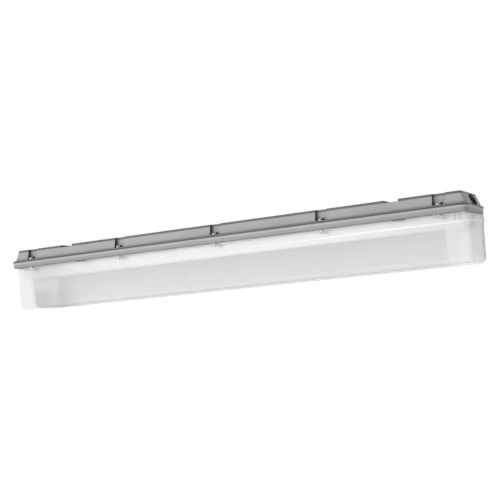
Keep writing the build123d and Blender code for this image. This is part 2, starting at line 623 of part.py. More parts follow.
def conduit_plug():
    """The plug that closes the right conduit entry: slotted head and hollow shank."""
    head_x = CONDUIT_SEAT_X + WASHER_THICKNESS
    head = Cylinder(CONDUIT_RADIUS + CONDUIT_BOSS_WALL / 2, PLUG_HEAD_HEIGHT)
    head = chamfer(edges_at(head, PLUG_HEAD_HEIGHT / 2), PLUG_HEAD_EDGE)
    head -= Pos(0, 0, PLUG_HEAD_HEIGHT / 2) * Box(2 * CONDUIT_RADIUS, PLUG_SLOT_WIDTH, 2 * PLUG_SLOT_DEPTH)
    shank_length = CONDUIT_BOSS_LENGTH + WASHER_THICKNESS - OVERRUN
    shank_radius = CONDUIT_RADIUS - PLUG_CLEARANCE
    shank = Cylinder(shank_radius, shank_length) - Cylinder(shank_radius - PLUG_WALL, shank_length)
    plug = head + Pos(0, 0, -(PLUG_HEAD_HEIGHT + shank_length) / 2) * shank
    return Pos(head_x + PLUG_HEAD_HEIGHT / 2, 0, CONDUIT_Z) * Rot(0, 90, 0) * plug


def all_parts():
    """Every sub-part by the name of its node."""
    parts = {"housing_shell": housing_shell(), "gasket": gasket(), "lens": lens(), "gear_tray": gear_tray()}
    for side_name, side in SIDES.items():
        for number, x in enumerate(latch_places(), 1):
            parts[f"latch_screw_{side_name}_{number}"] = latch_screw(x, side)
            parts[f"latch_cam_{side_name}_{number}"] = latch_cam(x, side)
        for number, half in enumerate(ENDS.values(), 1):
            parts[f"led_board_{side_name}_{number}"] = led_board(side, half)
    for end_name, end in ENDS.items():
        parts[f"tray_hanger_{end_name}"] = tray_hanger(end)
        parts[f"tray_toggle_{end_name}"] = tray_toggle(end)
        for side_name, side in SIDES.items():
            parts[f"hanger_screw_{end_name}_{side_name}"] = hanger_screw(end, side)
    parts["led_driver"] = led_driver()
    for number, x in enumerate(driver_screw_places(), 1):
        parts[f"driver_screw_{number}"] = driver_screw(x)
    parts["terminal_block"] = terminal_block()
    parts["ground_screw"] = ground_screw()
    parts["conduit_plug"] = conduit_plug()
    parts["plug_washer"] = plug_washer()
    return parts


if __name__ == "__main__":
    os.makedirs("parts", exist_ok=True)
    for node, shape in all_parts().items():
        export_step(shape, f"parts/{node}.step")
        print(f"{node}: {shape.volume:.0f} mm3, {len(shape.solids())} solid(s)")
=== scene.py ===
"""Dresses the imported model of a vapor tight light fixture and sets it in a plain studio.

The fixture hangs from its top face at the origin. +X runs along it, +Y to its rear and +Z up,
and every size is in metres.
"""
import json
import logging
import math
from dataclasses import dataclass, field
from enum import Enum
from typing import Callable, Mapping, Optional, Sequence, Union

import bmesh
import bpy
from mathutils import Matrix, Vector


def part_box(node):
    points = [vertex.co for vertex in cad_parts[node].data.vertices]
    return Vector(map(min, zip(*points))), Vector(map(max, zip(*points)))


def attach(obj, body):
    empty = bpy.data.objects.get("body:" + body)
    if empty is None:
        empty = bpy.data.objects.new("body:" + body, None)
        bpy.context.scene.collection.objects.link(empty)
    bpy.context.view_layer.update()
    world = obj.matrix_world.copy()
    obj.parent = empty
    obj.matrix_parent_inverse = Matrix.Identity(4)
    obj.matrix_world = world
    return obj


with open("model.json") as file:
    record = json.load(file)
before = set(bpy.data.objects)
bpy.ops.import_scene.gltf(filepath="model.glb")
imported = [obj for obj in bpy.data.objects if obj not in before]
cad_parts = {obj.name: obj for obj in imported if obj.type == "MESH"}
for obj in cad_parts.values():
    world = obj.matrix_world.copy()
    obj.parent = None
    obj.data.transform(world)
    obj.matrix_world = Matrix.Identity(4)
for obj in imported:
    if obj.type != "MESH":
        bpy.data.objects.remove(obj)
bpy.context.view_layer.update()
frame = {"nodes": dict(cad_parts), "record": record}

LOG = logging.getLogger("fixture")

Colour = tuple[float, float, float]
SocketValue = Union[bpy.types.NodeSocket, float, int, Sequence[float]]

# Between which noise values a roughness runs, and a slow tone
NOISE_SPAN = (0.2, 0.8)
TONE_SPAN = (0.3, 0.7)
WHITE: Colour = (1.0, 1.0, 1.0)
MERGE_DISTANCE = 1e-6
BEVEL_SEGMENTS = 3


class Slot(Enum):
    """The material slots of the record that the pieces take their finish from."""

    HOUSING = "housing"
    GASKET = "gasket"
    LENS = "lens"
    TRAY = "tray"
    ZINC = "zinc"
    STEEL = "steel"
    STAINLESS = "stainless"
    CAM = "cam"
    TOGGLE = "toggle"
    BOARD = "board"
    DRIVER_CASE = "driver_case"
    TERMINAL = "terminal"
    PLUG = "plug"


class NodeGraph:
    """Adds nodes to one node tree and joins their sockets."""

    def __init__(self, tree: bpy.types.NodeTree) -> None:
        """Keeps the tree that the nodes go into."""
        self.tree = tree

    def add(self, kind: str, inputs: Optional[Mapping[Union[str, int], SocketValue]] = None,
            **settings: object) -> bpy.types.Node:
        """Adds one node.

        Args:
            kind: The node's type name.
            inputs: What goes into its sockets, each a socket to join or a plain value.
            settings: Other attributes of the node.

        Returns:
            The new node.
        """
        node = self.tree.nodes.new(kind)
        for name, value in settings.items():
            setattr(node, name, value)
        for key, value in (inputs or {}).items():
            if isinstance(value, bpy.types.NodeSocket):
                self.tree.links.new(value, node.inputs[key])
            else:
                node.inputs[key].default_value = value
        return node

    def math(self, operation: str, first: SocketValue, second: SocketValue = 0.0,
             third: SocketValue = 0.0, clamp: bool = False) -> bpy.types.NodeSocket:
        """Adds a Math node and returns its value."""
        node = self.add("ShaderNodeMath", {0: first, 1: second, 2: third}, operation=operation, use_clamp=clamp)
        return node.outputs[0]

    def ramp(self, value: SocketValue, start: float, end: float, low: float = 0.0,
             high: float = 1.0) -> bpy.types.NodeSocket:
        """Adds a smooth Map Range from start..end to low..high and returns its value."""
        return self.add("ShaderNodeMapRange", {0: value, 1: start, 2: end, 3: low, 4: high},
                        interpolation_type="SMOOTHSTEP").outputs[0]

    def mix_colour(self, factor: SocketValue, first: SocketValue, second: SocketValue) -> bpy.types.NodeSocket:
        """Adds a Mix node for colours and returns its colour."""
        return self.add("ShaderNodeMix", {0: factor, 6: first, 7: second}, data_type="RGBA").outputs[2]

    def mix(self, factor: SocketValue, first: SocketValue, second: SocketValue) -> bpy.types.NodeSocket:
        """Adds a Mix node for plain values and returns its value."""
        return self.add("ShaderNodeMix", {0: factor, 2: first, 3: second}, data_type="FLOAT").outputs[0]

    def place(self) -> bpy.types.NodeSocket:
        """Returns the point on the piece, in its object coordinates."""
        return self.add("ShaderNodeTexCoord").outputs["Object"]


def rgba(colour: Colour) -> tuple[float, float, float, float]:
    """Returns a colour with full alpha."""
    return (*colour, 1.0)


@dataclass
class Effects:
    """Node groups that more than one finish uses, each built on first use."""

    edge_samples: int = 6
    sky_samples: int = 8
    speck_span: tuple[float, float] = (0.12, 0.05)
    least_crease_shade: float = 0.85
    upright_span: tuple[float, float] = (0.97, 0.90)
    along_span: tuple[float, float] = (0.55, 0.85)
    upward_span: tuple[float, float] = (0.35, 0.95)
    dust_span: tuple[float, float] = (0.35, 0.7)
    built: dict[str, bpy.types.NodeTree] = field(default_factory=dict)

    def _group(self, name: str, inputs: Mapping[str, float], outputs: Mapping[str, str],
               fill: Callable[[NodeGraph, bpy.types.Node, bpy.types.Node], None]) -> bpy.types.NodeTree:
        """Builds a named group once.

        Args:
            name: The group's name.
            inputs: Its inputs with their usual values.
            outputs: Its outputs with their socket types.
            fill: Adds the nodes between the input node and the output node.

        Returns:
            The group's tree.
        """
        if name not in self.built:
            tree = bpy.data.node_groups.new(name, "ShaderNodeTree")
            for label, value in inputs.items():
                socket = tree.interface.new_socket(label, in_out="INPUT", socket_type="NodeSocketFloat")
                socket.default_value = value
            for label, kind in outputs.items():
                tree.interface.new_socket(label, in_out="OUTPUT", socket_type=kind)
            graph = NodeGraph(tree)
            fill(graph, graph.add("NodeGroupInput"), graph.add("NodeGroupOutput"))
            self.built[name] = tree
        return self.built[name]

    def edges(self) -> bpy.types.NodeTree:
        """Rounds sharp edges in the shading and masks them.

        Returns:
            The group, with the rounded normal and the mask.
        """
        def fill(graph: NodeGraph, start: bpy.types.Node, end: bpy.types.Node) -> None:
            """Compares the rounded normal with the flat one.

            Args:
                graph: The group's graph.
                start: Its input node.
                end: Its output node.
            """
            rounded = graph.add("ShaderNodeBevel", {"Radius": start.outputs["Radius"]}, samples=self.edge_samples)
            flat = graph.add("ShaderNodeNewGeometry")
            dot = graph.add("ShaderNodeVectorMath", {0: rounded.outputs[0], 1: flat.outputs["Normal"]},
                            operation="DOT_PRODUCT")
            turn = graph.math("SUBTRACT", 1.0, dot.outputs["Value"])
            mask = graph.math("MULTIPLY", turn, start.outputs["Gain"], clamp=True)
            graph.tree.links.new(rounded.outputs[0], end.inputs["Normal"])
            graph.tree.links.new(mask, end.inputs["Mask"])

        return self._group("rounded_edges", {"Radius": 0.0008, "Gain": 3.0},
                           {"Normal": "NodeSocketVector", "Mask": "NodeSocketFloat"}, fill)

    def grain(self) -> bpy.types.NodeTree:
        """Gives a moulding or coating its fine grain and its slow change of tone.

        Returns:
            The group, with the grain's height, the tone and a mask of specks.
        """
        def fill(graph: NodeGraph, start: bpy.types.Node, end: bpy.types.Node) -> None:
            """Adds a fine height, a coarse tone and a mask of small specks.

            Args:
                graph: The group's graph.
                start: Its input node.
                end: Its output node.
            """
            place = graph.place()
            fine = graph.add("ShaderNodeTexNoise", {"Vector": place, "Scale": start.outputs["Fine"],
                                                    "Detail": 3.0, "Roughness": 0.6})
            slow = graph.add("ShaderNodeTexNoise", {"Vector": place, "Scale": start.outputs["Slow"],
                                                    "Detail": 4.0, "Roughness": 0.55})
            specks = graph.add("ShaderNodeTexVoronoi", {"Vector": place, "Scale": start.outputs["Fine"]})
            tone = graph.ramp(slow.outputs[0], *TONE_SPAN)
            graph.tree.links.new(fine.outputs[0], end.inputs["Height"])
            graph.tree.links.new(tone, end.inputs["Tone"])
            speck = graph.ramp(specks.outputs["Distance"], *self.speck_span)
            graph.tree.links.new(speck, end.inputs["Specks"])

        return self._group("surface_grain", {"Fine": 900.0, "Slow": 9.0},
                           {"Height": "NodeSocketFloat", "Tone": "NodeSocketFloat", "Specks": "NodeSocketFloat"},
                           fill)

    def crease_shading(self) -> bpy.types.NodeTree:
        """Masks inner corners and grooves for painted shade, most where the sky near the surface is most closed off.

        Returns:
            The group.
        """
        def fill(graph: NodeGraph, start: bpy.types.Node, end: bpy.types.Node) -> None:
            """Takes how much of the sky near the surface is closed off, and breaks it up a little.

            Args:
                graph: The group's graph.
                start: Its input node.
                end: Its output node.
            """
            open_sky = graph.add("ShaderNodeAmbientOcclusion", {"Distance": start.outputs["Reach"]},
                                 samples=self.sky_samples)
            patches = graph.add("ShaderNodeTexNoise", {"Vector": graph.place(), "Scale": 55.0, "Detail": 3.0})
            shut = graph.ramp(open_sky.outputs["AO"], start.outputs["Start"], start.outputs["End"])
            uneven = graph.ramp(patches.outputs[0], *TONE_SPAN, self.least_crease_shade, 1.0)
            graph.tree.links.new(graph.math("MULTIPLY", shut, uneven), end.inputs["Mask"])

        return self._group("painted_crease_shade", {"Reach": 0.006, "Start": 0.70, "End": 0.30},
                           {"Mask": "NodeSocketFloat"}, fill)

    def height_band(self) -> bpy.types.NodeTree:
        """Masks the side faces between two heights.

        Returns:
            The group.
        """
        def fill(graph: NodeGraph, start: bpy.types.Node, end: bpy.types.Node) -> None:
            """Takes the band of heights, without the faces that look up or down.

            Args:
                graph: The group's graph.
                start: Its input node.
                end: Its output node.
            """
            height = graph.add("ShaderNodeSeparateXYZ", {0: graph.place()}).outputs["Z"]
            normal = graph.add("ShaderNodeNewGeometry").outputs["Normal"]
            level = graph.math("ABSOLUTE", graph.add("ShaderNodeSeparateXYZ", {0: normal}).outputs["Z"])
            soft_low = graph.math("SUBTRACT", start.outputs["Low"], start.outputs["Soft"])
            soft_high = graph.math("ADD", start.outputs["High"], start.outputs["Soft"])
            above = graph.ramp(height, soft_low, start.outputs["Low"])
            below = graph.ramp(height, soft_high, start.outputs["High"])
            side = graph.ramp(level, *self.upright_span)
            inside = graph.math("MULTIPLY", above, below)
            graph.tree.links.new(graph.math("MULTIPLY", inside, side), end.inputs["Mask"])

        return self._group("height_band", {"Low": 0.0, "High": 0.001, "Soft": 0.0005},
                           {"Mask": "NodeSocketFloat"}, fill)

    def cheek_shade(self) -> bpy.types.NodeTree:
        """Masks the faces that look along the fixture, such as the sides of recesses, for painted shade.

        Returns:
            The group.
        """
        def fill(graph: NodeGraph, start: bpy.types.Node, end: bpy.types.Node) -> None:
            """Takes the faces that look along X, up to a reach from the middle.

            Args:
                graph: The group's graph.
                start: Its input node.
                end: Its output node.
            """
            normal = graph.add("ShaderNodeNewGeometry").outputs["Normal"]
            along = graph.math("ABSOLUTE", graph.add("ShaderNodeSeparateXYZ", {0: normal}).outputs["X"])
            out = graph.math("ABSOLUTE", graph.add("ShaderNodeSeparateXYZ", {0: graph.place()}).outputs["X"])
            facing = graph.ramp(along, *self.along_span)
            inner = graph.math("LESS_THAN", out, start.outputs["Reach"])
            graph.tree.links.new(graph.math("MULTIPLY", facing, inner), end.inputs["Mask"])

        return self._group("recess_side_shade", {"Reach": 0.6}, {"Mask": "NodeSocketFloat"}, fill)

    def entry_shade(self) -> bpy.types.NodeTree:
        """Masks the plastic round the conduit entry of each end, for painted shade.

        Returns:
            The group.
        """
        def fill(graph: NodeGraph, start: bpy.types.Node, end: bpy.types.Node) -> None:
            """Takes the points near the entry's axis, at either end only.

            Args:
                graph: The group's graph.
                start: Its input node.
                end: Its output node.
            """
            parts = graph.add("ShaderNodeSeparateXYZ", {0: graph.place()})
            height = graph.math("ADD", parts.outputs["Z"], start.outputs["Drop"])
            squares = graph.math("ADD", graph.math("MULTIPLY", parts.outputs["Y"], parts.outputs["Y"]),
                                 graph.math("MULTIPLY", height, height))
            near = graph.math("LESS_THAN", graph.math("SQRT", squares), start.outputs["Radius"])
            out = graph.math("GREATER_THAN", graph.math("ABSOLUTE", parts.outputs["X"]), start.outputs["From"])
            graph.tree.links.new(graph.math("MULTIPLY", near, out), end.inputs["Mask"])

        return self._group("entry_shade", {"Radius": 0.0150, "Drop": 0.0185, "From": 0.615},
                           {"Mask": "NodeSocketFloat"}, fill)

    def dust(self) -> bpy.types.NodeTree:
        """Masks the faces that look up, broken up by noise.

        Returns:
            The group.
        """
        def fill(graph: NodeGraph, start: bpy.types.Node, end: bpy.types.Node) -> None:
            """Takes the upward part of the normal and breaks it up.

            Args:
                graph: The group's graph.
                start: Its input node.
                end: Its output node.
            """
            normal = graph.add("ShaderNodeNewGeometry").outputs["Normal"]
            up = graph.add("ShaderNodeSeparateXYZ", {0: normal}).outputs["Z"]
            patches = graph.add("ShaderNodeTexNoise", {"Vector": graph.place(), "Scale": 40.0, "Detail": 5.0})
            facing = graph.ramp(up, *self.upward_span)
            broken = graph.math("MULTIPLY", facing, graph.ramp(patches.outputs[0], *self.dust_span))
            graph.tree.links.new(graph.math("MULTIPLY", broken, start.outputs["Amount"]), end.inputs["Mask"])

        return self._group("settled_dust", {"Amount": 0.3}, {"Mask": "NodeSocketFloat"}, fill)


EFFECTS = Effects()


class Finish:
    """What every finish shares: a material with a Principled shader and helpers for the shared effects."""

    name: str

    def start(self) -> tuple[bpy.types.Material, NodeGraph, bpy.types.Node]:
        """Makes the material.

        Returns:
            The material, its graph and its Principled node.
        """
        material = bpy.data.materials.new(self.name)
        material.use_nodes = True
        graph = NodeGraph(material.node_tree)
        return material, graph, material.node_tree.nodes["Principled BSDF"]

    @staticmethod
    def effect(graph: NodeGraph, tree: bpy.types.NodeTree, **values: float) -> bpy.types.Node:
        """Places a shared group in a material.

        Args:
            graph: The material's graph.
            tree: The group.
            values: Its inputs that differ from their usual values.

        Returns:
            The group's node.
        """
        node = graph.add("ShaderNodeGroup", node_tree=tree)
        for label, value in values.items():
            node.inputs[label].default_value = value
        return node

    @staticmethod
    def overlay(graph: NodeGraph, colour: bpy.types.NodeSocket, mask: bpy.types.NodeSocket, strength: float,
                over: Colour) -> bpy.types.NodeSocket:
        """Lays a plain colour over another by a mask.

        Args:
            graph: The material's graph.
            colour: The colour below.
            mask: Where the plain colour lies.
            strength: How much of the colour below it hides there.
            over: The plain colour.

        Returns:
            The colour of both.
        """
        return graph.mix_colour(graph.math("MULTIPLY", mask, strength), colour, rgba(over))

    @staticmethod
    def by_grain(graph: NodeGraph, grain: bpy.types.Node, low: float, high: float) -> bpy.types.NodeSocket:
        """Returns a value that runs from low to high with the height of the grain."""
        return graph.ramp(grain.outputs["Height"], *NOISE_SPAN, low, high)

    def bump(self, graph: NodeGraph, shader: bpy.types.Node, height: bpy.types.NodeSocket,
             normal: Optional[bpy.types.NodeSocket], depth: float, strength: float) -> None:
        """Feeds the shader's normal from a height laid over another normal.

        Args:
            graph: The material's graph.
            shader: Its Principled node.
            height: The height.
            normal: The normal below, or None for the surface's own.
            depth: How deep the relief is, in metres.
            strength: How strongly it turns the normal.
        """
        inputs: dict[Union[str, int], SocketValue] = {"Height": height, "Distance": depth, "Strength": strength}
        if normal is not None:
            inputs["Normal"] = normal
        bump = graph.add("ShaderNodeBump", inputs)
        graph.tree.links.new(bump.outputs[0], shader.inputs["Normal"])

    def build(self) -> bpy.types.Material:
        """Makes the finish's material."""
        raise NotImplementedError


@dataclass(frozen=True)
class ShadeBand:
    """A line or band of painted shade on the side faces of a piece, between two heights with soft limits."""

    low: float
    high: float
    soft: float
    strength: float


@dataclass(frozen=True)
class MouldedPlastic(Finish):
    """An opaque moulded plastic with a fine grain, paler edges, a little dust on top, and painted shade in its inner
    corners and grooves and, where set, in dark lines along it, in recesses and on end walls.
    """

    name: str
    colour: Colour
    shade: Colour
    edge: Colour
    roughness: float = 0.45
    grain: float = 900.0
    grain_depth: float = 0.00006
    edge_radius: float = 0.0008
    dust: float = 0.25
    # Painted shade in inner corners and grooves: its strength and reach, and the near-black colour that all its
    # painted shade takes
    crease_shade: float = 0.75
    crease_shade_reach: float = 0.008
    painted_shade_colour: Colour = (0.04, 0.04, 0.042)
    shine: float = 0.5
    # Painted shade on the end walls, and on the sides of recesses and round the conduit entry
    end_shade: float = 0.0
    cheek_shade: float = 0.0
    shade_bands: tuple[ShadeBand, ...] = ()
    tone_scale: float = 7.0
    edge_gain: float = 2.5
    speck_share: float = 0.12
    wear_share: float = 0.55
    dust_colour: Colour = (0.55, 0.54, 0.52)
    dust_roughness: float = 0.5
    smoother: float = 0.07
    rougher: float = 0.08
    relief: float = 0.6

    def shades(self, graph: NodeGraph) -> list[tuple[bpy.types.NodeSocket, float]]:
        """Places the masks of the painted shade: the dark lines, the sides of recesses, the conduit entry and the end
        walls.

        Args:
            graph: The material's graph.

        Returns:
            Each mask with its strength.
        """
        shades = []
        for band in self.shade_bands:
            node = self.effect(graph, EFFECTS.height_band(), Low=band.low, High=band.high, Soft=band.soft)
            shades.append((node.outputs["Mask"], band.strength))
        if self.cheek_shade:
            shades.append((self.effect(graph, EFFECTS.cheek_shade()).outputs["Mask"], self.cheek_shade))
            shades.append((self.effect(graph, EFFECTS.entry_shade()).outputs["Mask"], self.cheek_shade))
        if self.end_shade:
            shades.append((self.effect(graph, EFFECTS.cheek_shade(), Reach=1.0).outputs["Mask"], self.end_shade))
        return shades

    def build(self) -> bpy.types.Material:
        """Makes the plastic from its colours, grain, shades and edge radius.

        Returns:
            The material.
        """
        material, graph, shader = self.start()
        shader.inputs["Specular IOR Level"].default_value = self.shine
        grain = self.effect(graph, EFFECTS.grain(), Fine=self.grain, Slow=self.tone_scale)
        edges = self.effect(graph, EFFECTS.edges(), Radius=self.edge_radius, Gain=self.edge_gain)
        dust = self.effect(graph, EFFECTS.dust(), Amount=self.dust)
        crease_shading = self.effect(graph, EFFECTS.crease_shading(), Reach=self.crease_shade_reach)
        colour = graph.mix_colour(grain.outputs["Tone"], rgba(self.colour), rgba(self.shade))
        colour = self.overlay(graph, colour, grain.outputs["Specks"], self.speck_share, self.edge)
        colour = self.overlay(graph, colour, edges.outputs["Mask"], self.wear_share, self.edge)
        colour = graph.mix_colour(dust.outputs["Mask"], colour, rgba(self.dust_colour))
        # Painted shade: darker in inner corners and grooves, then in dark lines, recesses, round the conduit entry and
        # on end walls
        colour = self.overlay(graph, colour, crease_shading.outputs["Mask"], self.crease_shade, self.painted_shade_colour)
        for mask, strength in self.shades(graph):
            colour = self.overlay(graph, colour, mask, strength, self.painted_shade_colour)
        graph.tree.links.new(colour, shader.inputs["Base Color"])
        rough = self.by_grain(graph, grain, self.roughness - self.smoother, self.roughness + self.rougher)
        dusty = graph.math("MULTIPLY", dust.outputs["Mask"], self.dust_roughness)
        graph.tree.links.new(graph.math("ADD", rough, dusty, clamp=True), shader.inputs["Roughness"])
        self.bump(graph, shader, grain.outputs["Height"], edges.outputs["Normal"], self.grain_depth, self.relief)
        return material


@dataclass(frozen=True)
class PlatedMetal(Finish):
    """A brushed or plated metal with its brushing along one axis and brighter edges."""

    name: str
    colour: Colour
    stain: Colour
    roughness: float = 0.32
    brushing: tuple[float, float, float] = (60.0, 2500.0, 2500.0)
    edge_radius: float = 0.0004
    weathered: Optional[Colour] = None
    weathered_above: float = -0.0285
    weathered_soft: float = 0.0005
    edge_brightness: float = 1.25
    smoother: float = 0.08
    rougher: float = 0.1
    line_span: tuple[float, float] = (0.25, 0.75)
    line_depth: float = 0.00003

    def build(self) -> bpy.types.Material:
        """Makes the metal from its colours and brushing.

        Returns:
            The material.
        """
        material, graph, shader = self.start()
        shader.inputs["Metallic"].default_value = 1.0
        stretched = graph.add("ShaderNodeMapping", {"Vector": graph.place(), "Scale": self.brushing})
        lines = graph.add("ShaderNodeTexNoise", {"Vector": stretched.outputs[0], "Scale": 1.0, "Detail": 2.0})
        grain = self.effect(graph, EFFECTS.grain(), Fine=1400.0, Slow=45.0)
        edges = self.effect(graph, EFFECTS.edges(), Radius=self.edge_radius, Gain=3.0)
        body = graph.mix_colour(grain.outputs["Tone"], rgba(self.colour), rgba(self.stain))
        if self.weathered is not None:
            height = graph.add("ShaderNodeSeparateXYZ", {0: graph.place()}).outputs["Z"]
            outside = graph.ramp(height, self.weathered_above - self.weathered_soft, self.weathered_above)
            body = graph.mix_colour(outside, body, rgba(self.weathered))
        polished = tuple(min(1.0, level * self.edge_brightness) for level in self.colour)
        bright = graph.mix_colour(edges.outputs["Mask"], body, rgba(polished))
        graph.tree.links.new(bright, shader.inputs["Base Color"])
        rough = graph.ramp(lines.outputs[0], *self.line_span, self.roughness - self.smoother,
                           self.roughness + self.rougher)
        graph.tree.links.new(rough, shader.inputs["Roughness"])
        self.bump(graph, shader, lines.outputs[0], edges.outputs["Normal"], self.line_depth, strength=0.5)
        return material


@dataclass(frozen=True)
class BakedEnamel(Finish):
    """White enamel on sheet steel, with a light orange peel."""

    name: str
    colour: Colour
    shade: Colour
    roughness: float = 0.28
    smoother: float = 0.05
    rougher: float = 0.06
    peel: float = 260.0
    peel_depth: float = 0.00008
    edge_radius: float = 0.0012
    coat: tuple[float, float] = (0.10, 0.20)
    coat_roughness: float = 0.12

    def build(self) -> bpy.types.Material:
        """Makes the enamel with its peel and rounded edges.

        Returns:
            The material.
        """
        material, graph, shader = self.start()
        shader.inputs["Coat Roughness"].default_value = self.coat_roughness
        grain = self.effect(graph, EFFECTS.grain(), Fine=self.peel, Slow=5.0)
        edges = self.effect(graph, EFFECTS.edges(), Radius=self.edge_radius, Gain=2.0)
        colour = graph.mix_colour(grain.outputs["Tone"], rgba(self.colour), rgba(self.shade))
        graph.tree.links.new(colour, shader.inputs["Base Color"])
        rough = self.by_grain(graph, grain, self.roughness - self.smoother, self.roughness + self.rougher)
        graph.tree.links.new(rough, shader.inputs["Roughness"])
        graph.tree.links.new(self.by_grain(graph, grain, *self.coat), shader.inputs["Coat Weight"])
        self.bump(graph, shader, grain.outputs["Height"], edges.outputs["Normal"], self.peel_depth,
                  strength=0.35)
        return material


@dataclass(frozen=True)
class FoamSeal(Finish):
    """A dark poured foam with open pores and a dull skin."""

    name: str
    colour: Colour
    pore: Colour
    pores: float = 700.0
    pore_depth: float = 0.0002
    pore_span: tuple[float, float] = (0.1, 0.45)
    pore_share: float = 0.3
    roughness: tuple[float, float] = (0.78, 0.92)

    def build(self) -> bpy.types.Material:
        """Makes the foam with its pores.

        Returns:
            The material.
        """
        material, graph, shader = self.start()
        cells = graph.add("ShaderNodeTexVoronoi", {"Vector": graph.place(), "Scale": self.pores})
        grain = self.effect(graph, EFFECTS.grain(), Fine=1500.0, Slow=20.0)
        depth = graph.ramp(cells.outputs["Distance"], *self.pore_span)
        colour = graph.mix_colour(depth, rgba(self.pore), rgba(self.colour))
        toned = self.overlay(graph, colour, grain.outputs["Tone"], self.pore_share, self.pore)
        graph.tree.links.new(toned, shader.inputs["Base Color"])
        graph.tree.links.new(self.by_grain(graph, grain, *self.roughness), shader.inputs["Roughness"])
        self.bump(graph, shader, depth, None, self.pore_depth, strength=0.7)
        return material


@dataclass(frozen=True)
class LensAcrylic(Finish):
    """Clear acrylic whose middle length is frosted and ribbed below a clear band.

    The left end is clearer than the right one, by place on the lens. Painted shade darkens its edges, corners and
    gussets, and its frost towards the left end; a painted highlight runs along its shoulder, and the frost is painted
    lighter towards the bottom.
    """

    name: str = "lens_acrylic"
    clear: Colour = (0.805, 0.805, 0.805)
    # The near-black of the painted shade on the edges
    rim: Colour = (0.14, 0.145, 0.15)
    # The frost's colour at its top, and a painted lighter colour at its bottom
    frost: Colour = (0.678, 0.675, 0.673)
    low_frost_lit: Colour = (0.728, 0.725, 0.723)
    # The colour of the painted highlight along the shoulder
    glint: Colour = (0.93, 0.93, 0.93)
    shoulder: tuple[float, float] = (-0.0700, -0.0665)
    shoulder_soft: float = 0.0008
    glint_from: tuple[float, float] = (0.0, 0.45)
    corner_x: tuple[float, float] = (0.600, 0.630)
    corner_y: tuple[float, float] = (0.034, 0.044)
    corner_turn: tuple[float, float] = (0.55, 0.95)
    far_edge: tuple[float, float] = (0.022, 0.032)
    far_turn: tuple[float, float] = (0.4, 0.7)
    far_shade: float = 0.55
    outline_power: float = 10.0
    # Towards the left end: a darker clear colour, and the frost darkened with painted shade, most at its bottom
    left_from: tuple[float, float] = (-0.42, -0.54)
    left_clear: Colour = (0.705, 0.705, 0.705)
    left_frost_shade: Colour = (0.527, 0.525, 0.523)
    left_top_share: float = 0.35
    left_fade: float = 0.02
    gusset_reach: float = 0.63
    gusset_shade: float = 0.65
    frost_bottom: float = -0.150
    frost_half_length: float = 0.585
    frost_top: float = -0.083
    fade: float = 0.0012
    clear_alpha: float = 0.12
    haze_alpha: float = 0.42
    rim_alpha: float = 0.95
    glint_alpha: float = 0.60
    frost_alpha: float = 0.52
    frost_change: float = 0.02
    end_density: float = 0.25
    end_length: float = 0.09
    shadow_share: float = 0.25
    roughness: tuple[float, float] = (0.16, 0.24)
    frost_roughness: float = 0.30
    ior: float = 1.49
    rib_pitch: float = 0.005
    rib_depth: float = 0.0003

    def frost_mask(self, graph: NodeGraph, parts: bpy.types.Node) -> bpy.types.NodeSocket:
        """Tells the frosted zone from the clear band and from the clear zone at each end.

        Args:
            graph: The material's graph.
            parts: The node that splits the place into X, Y and Z.

        Returns:
            1 in the frost and 0 outside it.
        """
        along = graph.math("ABSOLUTE", parts.outputs["X"])
        inside = graph.ramp(along, self.frost_half_length + self.fade, self.frost_half_length - self.fade)
        below = graph.ramp(parts.outputs["Z"], self.frost_top + self.fade, self.frost_top - self.fade)
        return graph.math("MULTIPLY", inside, below)

    def painted_edge_shade(self, graph: NodeGraph, parts: bpy.types.Node) -> bpy.types.NodeSocket:
        """Darkens the acrylic with painted shade where it is seen on edge, in its upright corners and in its gussets.

        Args:
            graph: The material's graph.
            parts: The node that splits the place into X, Y and Z.

        Returns:
            How dark it is, from 0 to 1.
        """
        rim = graph.add("ShaderNodeLayerWeight", {"Blend": 0.5}).outputs["Facing"]
        across = graph.ramp(graph.math("ABSOLUTE", parts.outputs["Y"]), *self.corner_y)
        along = graph.ramp(graph.math("ABSOLUTE", parts.outputs["X"]), *self.corner_x)
        corner = graph.math("MULTIPLY", graph.math("MULTIPLY", across, along), graph.ramp(rim, *self.corner_turn))
        far = graph.math("MULTIPLY", along, graph.ramp(parts.outputs["Y"], *self.far_edge, 0.0, self.far_shade))
        corner = graph.math("MAXIMUM", corner, graph.math("MULTIPLY", far, graph.ramp(rim, *self.far_turn)))
        thin = graph.math("POWER", rim, self.outline_power)
        gussets = graph.math("MULTIPLY", self.effect(graph, EFFECTS.cheek_shade(), Reach=self.gusset_reach).outputs["Mask"],
                             self.gusset_shade)
        return graph.math("MAXIMUM", graph.math("MAXIMUM", corner, thin), gussets)

    def ribs(self, graph: NodeGraph, parts: bpy.types.Node) -> bpy.types.NodeSocket:
        """Raises ribs that run along the lens, on its walls and its floor.

        Args:
            graph: The material's graph.
            parts: The node that splits the place into X, Y and Z.

        Returns:
            The height, from 0 to 1.
        """
        turns = graph.math("ADD", parts.outputs["Y"], parts.outputs["Z"])
        phase = graph.math("MULTIPLY", turns, 2 * math.pi / self.rib_pitch)
        return graph.ramp(graph.math("SINE", phase), -1.0, 1.0)

    def build(self) -> bpy.types.Material:
        """Makes the acrylic with its clear and frosted zones.

        Returns:
            The material.
        """
        material, graph, shader = self.start()
        parts = graph.add("ShaderNodeSeparateXYZ", {0: graph.place()})
        grain = self.effect(graph, EFFECTS.grain(), Fine=1300.0, Slow=6.0)
        frost = self.frost_mask(graph, parts)
        right = graph.ramp(parts.outputs["X"], -self.frost_half_length - self.left_fade, -self.frost_half_length)
